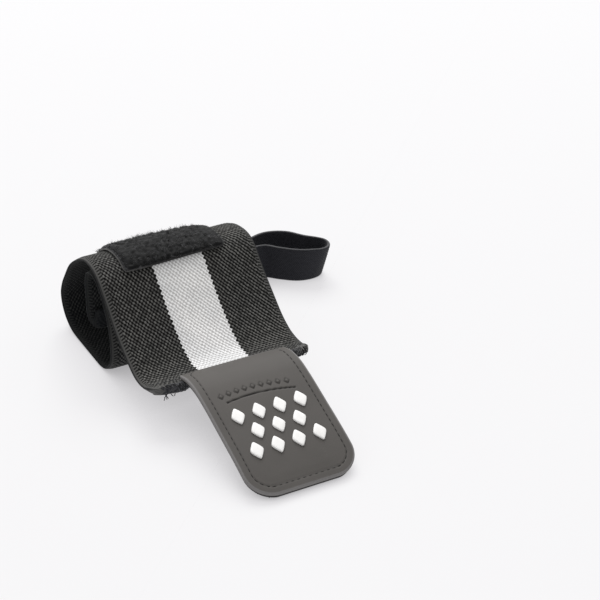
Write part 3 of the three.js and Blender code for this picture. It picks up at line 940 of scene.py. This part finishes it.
# The loop patch: a flat woven cloth, its stitches and its pile
def rounded_strip(start, length, width, radius, step, columns):
    """Across, along and edge distance over a rectangle with rounded corners."""
    turn = radius * (1 - cos(linspace(0, pi / 2, 9)))
    end = start + length
    middle = np.arange(start + radius, end - radius, step)
    rows = spaced(concatenate([start + turn, middle, end - turn]), 0.04)
    rest = clip(radius - minimum(rows - start, end - rows), 0, radius)
    half = (width / 2 - (radius - sqrt(radius ** 2 - rest ** 2)))[:, None]
    grid_t, along = np.meshgrid(columns, rows)
    across = grid_t * half
    distance = minimum(half - abs(across), minimum(along - start, end - along))
    return across, along, distance


PATCH_LIFT = BAND_FACE + GAP + PATCH_THICK / 2
PATCH_FACE = PATCH_LIFT + PATCH_THICK / 2
PATCH_CORNER = 2.0
PATCH_SKEW = 2.0
PATCH_SHIFT = -0.8
PATCH_SPREAD = 0.035


def on_patch(across, along, lift):
    """Points on the patch, whose lower edge is sewn a little askew."""
    share = 1 - clip((along - PATCH_START) / PATCH_LENGTH, 0, 1)
    skew = PATCH_SKEW * ease(across, -PATCH_WIDTH / 2, PATCH_WIDTH / 2 + 8) - 0.4
    return on_line(across * (1 + PATCH_SPREAD * share) + PATCH_SHIFT, along + skew * share, lift)


def pile_fullness(across):
    """The pile stands fullest past its middle and thins out towards its right end."""
    middle = sin(pi * clip(across / PATCH_WIDTH + 0.5, 0, 1))
    at_left = fade(PATCH_WIDTH / 2 + across, 0.5, 4)
    at_right = fade(PATCH_WIDTH / 2 - across, 0.5, 7)
    return 1 + 0.42 * middle - 0.5 * at_right - 0.3 * at_left


near_edge = np.array([0, 0.006, 0.014, 0.026])
columns = concatenate([-1 + near_edge, linspace(-0.96, 0.96, 71), 1 - near_edge[::-1]])
A, S, distance = rounded_strip(PATCH_START, PATCH_LENGTH, PATCH_WIDTH, PATCH_CORNER, 0.7, columns)
soft_edge = 1 - clip(distance / 0.45, 0, 1)
puff = 0.05 * sin(TURN * A / 0.9) * sin(TURN * S / 0.9)
upper = PATCH_FACE - 0.3 * soft_edge ** 2 + puff * (1 - soft_edge)
lower = PATCH_LIFT - PATCH_THICK / 2 + 0.15 + 0.15 * soft_edge ** 2
pale_edge = fade(distance, 0.15, 0.4) * (1 - 0.85 * ease(A, -17, -9))
patch_shape = closed_strip(on_patch(A, S, upper), on_patch(A, S, lower))
pale_edge = {"edge": sides(pale_edge)}
patch = make_piece("patch_border", patch_shape, patch_look(), cloth_map(A, S), pale_edge)
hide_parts("patch_base")

# A row of stitches round the patch's border
inset = 0.95
radius = PATCH_CORNER - inset
first, last = PATCH_START + inset, PATCH_START + PATCH_LENGTH - inset
quarter = corner_turn(PATCH_WIDTH / 2 - inset, radius, first + radius, linspace(0, pi / 2, 10))
near_end = np.vstack([quarter, quarter[::-1] * (-1, 1)])
far_end = (near_end * (1, -1) + (0, first + last))[::-1]
ring = np.vstack([near_end, far_end, quarter[:1]])
border_row = stitch_row(ring, 0, 2.5, 1.9, 1.8, 6, on_patch, PATCH_FACE - 0.08, 0.2, 5)
patch_thread = make_piece("patch_stitches", border_row, HEM_THREAD)

# The pile's matted root
PILE_BOTTOM = PATCH_FACE + 0.04
LEFT_INSET, ROOT_INSET = 1.1, 0.35
pile_width, pile_length = PATCH_WIDTH - LEFT_INSET - ROOT_INSET, PATCH_LENGTH - 2 * ROOT_INSET
pile_start = PATCH_START + ROOT_INSET
pile_middle = (LEFT_INSET - ROOT_INSET) / 2
columns = linspace(-1, 1, 101)
A, S, distance = rounded_strip(pile_start, pile_length, pile_width, PATCH_CORNER, 0.55, columns)
A = A + pile_middle
clump = np.zeros(A.shape)
for size, depth in ((4.6, 0.26), (2.6, 0.24), (1.5, 0.16)):
    for _ in range(5):
        angle = rng.uniform(0, pi)
        phase = rng.uniform(0, 6.28)
        clump += depth / 2.2 * sin((A * cos(angle) + S * sin(angle)) * 6.28 / size + phase)
dome = sqrt(1 - (1 - clip(distance / 1.1, 0, 1)) ** 2)
upper = PILE_BOTTOM + 0.1 + dome * pile_fullness(A) * (1.05 + 0.6 * clump)
felt_shape = closed_strip(on_patch(A, S, upper), on_patch(A, S, PILE_BOTTOM))
# Its colour is painted shade: near black, paler where the clumps rise
felt = make_piece("pile_root", felt_shape, PILE, None, {
    "shade": sides(clip(0.14 + 0.2 * clump, 0, 1)),
    "tip": sides(0.15 + 0.15 * clump, 0),
})
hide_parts("patch_pile")

# Tufts: each hair leans towards the nearest of these places
TUFT_PITCH = 1.95
HAIR_INSET = 0.1
# A hair's rings: share of its height, share of its girth, paleness (painted shade towards the root)
HAIR_RINGS = ((0.0, 1.0, 0.05), (0.3, 1.0, 0.3), (0.58, 0.9, 0.6), (0.82, 0.65, 0.85), (1.0, 0.25, 1.0))
tuft_dice = np.random.default_rng(8)
tuft_x, tuft_s = np.meshgrid(
    np.arange(-pile_width / 2, pile_width / 2 + 0.1, TUFT_PITCH),
    np.arange(pile_start, pile_start + pile_length + 0.1, TUFT_PITCH),
)
tufts = stack([tuft_x.ravel(), tuft_s.ravel()], -1)
tufts += tuft_dice.uniform(-0.9, 0.9, tufts.shape)
tuft_lean = tuft_dice.normal(0, 0.55, tufts.shape)
tuft_height = tuft_dice.uniform(0.5, 1.2, len(tufts))
# Taller tufts are paler: painted light on the tops of the pile
tuft_shade = tuft_dice.normal(0, 0.3, len(tufts)) + 0.5 * (tuft_height - 0.85)


def fibres(count, reach, radius, seed, stray):
    """Curled hairs over the pile, as closed three-sided spikes that gather into tufts."""
    dice = np.random.default_rng(seed)
    half = pile_width / 2 - HAIR_INSET
    first, last = pile_start + HAIR_INSET, pile_start + pile_length - HAIR_INSET
    across = dice.uniform(-half, half, count)
    along = dice.uniform(first, last, count)
    places = stack([across + pile_middle, along], -1)
    nearest = concatenate([
        np.argmin(((part[:, None] - tufts[None]) ** 2).sum(-1), axis=1) for part in np.array_split(places, 12)
    ])
    to_tuft = tufts[nearest] - places
    off_tuft = clip(np.linalg.norm(to_tuft, axis=1) / 1.5, 0, 1)
    fullness = pile_fullness(places[:, 0])
    edge = minimum(half - abs(across), minimum(along - first, last - along))
    low = (0.85 + 0.15 * ease(edge, 0, 1.5)) * fullness
    gather = to_tuft * dice.uniform(0.35, 0.8, (count, 1))
    height = reach * dice.uniform(0.6, 1.05, count) * low * tuft_height[nearest] * (1 - 0.5 * off_tuft)
    lean = gather + tuft_lean[nearest] + dice.normal(0, stray, (count, 2))
    outward = stack([
        np.sign(across) * (abs(across) > half - 0.9),
        1.0 * (along > last - 0.9) - (along < first + 0.9),
    ], -1)
    lean = lean + outward * dice.uniform(0.0, 0.9, (count, 1))
    curl = dice.normal(0, 0.28, (count, 2))
    turn = dice.uniform(0, TURN, count)
    droop = dice.uniform(0.0, 0.42, count)
    thick = radius * dice.uniform(0.7, 1.3, count)
    root_lift = PILE_BOTTOM + 0.15 + 0.7 * (fullness - 1).clip(0)
    rings = len(HAIR_RINGS)
    points = np.zeros((count, rings, 3, 3))
    for i, (share, girth, _) in enumerate(HAIR_RINGS):
        x, s = (places + lean * share ** 1.4 + curl * sin(pi * share)).T
        lift = root_lift + height * (share - droop * share ** 3)
        wide = thick * girth
        for j in range(3):
            angle = turn + TURN * j / 3
            points[:, i, j] = on_patch(x + cos(angle) * wide, s + sin(angle) * wide, lift)
    index = np.arange(count * rings * 3).reshape(count, rings, 3)
    caps = concatenate([index[:, 0, ::-1], index[:, -1]])
    # Hairs away from a tuft's middle are darker: painted shade in the gaps between tufts
    shade = clip(dice.normal(0.36, 0.2, count) + tuft_shade[nearest] - 0.42 * off_tuft + 0.08, 0, 1)
    values = {
        "shade": np.repeat(shade, rings * 3),
        "tip": np.tile(np.repeat([row[2] for row in HAIR_RINGS], 3), count),
    }
    return (points.reshape(-1, 3), [ring_quads(index), caps]), values


pile_pieces = [felt, patch_thread]
for name, count, reach, radius, seed, stray in (
    ("pile_hairs_a", 6200, 1.95, 0.085, 3, 0.25),
    ("pile_hairs_b", 6200, 2.25, 0.07, 4, 0.36),
    ("pile_hairs_long", 4600, 3.0, 0.042, 5, 0.6),
):
    hairs, values = fibres(count, reach, radius, seed, stray)
    pile_pieces.append(make_piece(name, hairs, PILE, None, values))


# The thumb loop
seam_back = float(line_point(BAND_END)[0]) + BAND_FACE + GAP + LOOP_THICK / 2
seam_lift = LOOP_LINE[0][2] * LOOP_HEIGHT
seam_end = BAND_WIDTH / 2 - SEAM_FROM_EDGE
near = [(seam_end - SEAM_LENGTH * (1 - k), seam_back, seam_lift) for k in (0, 0.5, 1)]
far = [(seam_end - SEAM_LENGTH * k, seam_back + LOOP_THICK + GAP, seam_lift) for k in (0, 0.5, 1)]
feet = [
    (BAND_WIDTH / 2 + out * LOOP_REACH, back_to_y(back), lift * LOOP_HEIGHT)
    for out, back, lift, _ in LOOP_LINE
]
leans = [0.0] * len(near) + [row[3] * LOOP_HEIGHT for row in LOOP_LINE] + [0.0] * len(far)
foot = above_floor(smooth_curve(near + feet + far), 0)
lean = smooth_curve(list(enumerate(leans)))[:, 1]
foot_run = run_length(foot)
loop_length = float(foot_run[-1])
stations = linspace(0, loop_length, int(loop_length / 0.85))
foot_at = at_lengths(foot, stations)
lean_at = np.interp(stations, foot_run, lean)
ahead = heading(foot, stations, 0.8)
side = stack([ahead[:, 1], -ahead[:, 0]], -1)
side /= np.linalg.norm(side, axis=1, keepdims=True)

LOOP_EDGE = np.array([0, 0.12, 0.35, 0.7])
loop_h = concatenate([LOOP_EDGE, linspace(1.1, LOOP_HEIGHT - 1.1, 23), LOOP_HEIGHT - LOOP_EDGE[::-1]])
H, ST = np.meshgrid(loop_h, stations)
from_end = minimum(ST, loop_length - ST)
from_edge = minimum(H, LOOP_HEIGHT - H)
curve = 1 - clip(from_edge / 0.75, 0, 1)
half_thick = LOOP_THICK / 2 * sqrt(1 - 0.9 * curve ** 2)
ripple = 0.05 * sin(TURN * H / 1.44) * (from_edge > 1)
bend = 0.25 * sin(ST / 7.3) * sin(pi * H / LOOP_HEIGHT) * ease(from_end, 25, 45)
# The far wall leans in near its right end and out near the band
LEAN_IN, LEAN_OUT = -2.6, 1.7
share = stations / loop_length
far_lean = LEAN_IN * ease(share, 0.47, 0.5) * fade(share, 0.52, 0.58)
far_lean += LEAN_OUT * ease(share, 0.55, 0.66) * fade(share, 0.76, 0.82)


def loop_side(offset):
    push = offset + bend + (lean_at + far_lean)[:, None] * (H / LOOP_HEIGHT)
    flat = foot_at[:, None, :2] + side[:, None] * push[..., None]
    return settle(concatenate([flat, (foot_at[:, 2, None] + H)[..., None]], -1))


loop_shape = closed_strip(loop_side(half_thick + ripple), loop_side(-half_thick - ripple))
loop = make_piece("thumb_loop_webbing", loop_shape, loop_look(), cloth_map(H, ST), {
    "edge": sides(fade(from_edge, 0.1, 0.45)),
    # painted shade at both ends of the strip
    "sewn": sides(fade(from_end, 12, 22)),
})
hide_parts("thumb_loop")

# The seam that holds the loop: a box of stitches with a cross in it, seen from behind
box_low, box_high = seam_lift + 2.2, seam_lift + LOOP_HEIGHT - 2.2
box_left, box_right = seam_end - SEAM_LENGTH + 1.5, seam_end - 2.0
corners = [(box_left, box_low), (box_right, box_low), (box_right, box_high), (box_left, box_high)]
runs = list(zip(corners, corners[1:] + corners[:1])) + [(corners[0], corners[2]), (corners[1], corners[3])]
seam_y = seam_back + LOOP_THICK + GAP + LOOP_THICK / 2
parts = []
steps = linspace(0, 1, 6)
for (x0, z0), (x1, z1) in runs:
    count = int(hypot(x1 - x0, z1 - z0) / 2.3)
    for i in range(count):
        shares = (i + 0.12 + 0.76 * steps) / count
        rise = 0.02 + 0.16 * sin(pi * steps)
        path = stack([x0 + (x1 - x0) * shares, seam_y + rise, z0 + (z1 - z0) * shares], -1)
        parts.append(tube(settle(path), 0.16, 5))
loop_thread = make_piece("loop_seam", join(parts), HEM_THREAD)


for piece in (band, *hem_pieces, loose_ends, tab, tab_thread, marks, hook_tape, hooks, patch, loop,
              loop_thread, *pile_pieces):
    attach(piece, "root")

# The floor, the light and the camera
FLOOR_HALF = 40.0
floor_mesh = bpy.data.meshes.new("floor")
floor_corners = [(x * FLOOR_HALF, y * FLOOR_HALF, 0) for x, y in ((-1, -1), (1, -1), (1, 1), (-1, 1))]
floor_mesh.from_pydata(floor_corners, [], [(0, 1, 2, 3)])
floor_mesh.materials.append(floor_look())
floor = bpy.data.objects.new("floor", floor_mesh)
bpy.context.collection.objects.link(floor)

world = bpy.data.worlds.new("studio")
bpy.context.scene.world = world
world.use_nodes = True
background = world.node_tree.nodes["Background"]
background.inputs["Color"].default_value = (1.0, 1.0, 1.0, 1.0)
background.inputs["Strength"].default_value = 0.56
bpy.context.scene.view_settings.view_transform = "Standard"


def put_facing(name, data, place, aim):
    """A lamp or camera at this place, turned towards its aim."""
    obj = bpy.data.objects.new(name, data)
    obj.location = place
    obj.rotation_euler = (Vector(aim) - Vector(place)).to_track_quat("-Z", "Y").to_euler()
    bpy.context.collection.objects.link(obj)
    return obj


for name, place, size, watts in (
    ("key", (0.7, 1.8, 2.4), (2.0, 2.0), 106.0),
    ("side", (-2.0, -1.6, 0.7), (1.2, 0.8), 6.0),
):
    light = bpy.data.lights.new(name, "AREA")
    light.shape = "RECTANGLE"
    light.size, light.size_y = size
    light.energy = watts
    put_facing(name, light, place, (0, 0, 0.02))

camera_data = bpy.data.cameras.new("camera")
camera_data.lens = 110.3
camera_data.sensor_width = 36.0
camera = put_facing("camera", camera_data, (-0.3134, -0.612, 0.4414), (0.0384, 0.0453, 0.0023))
bpy.context.scene.camera = camera
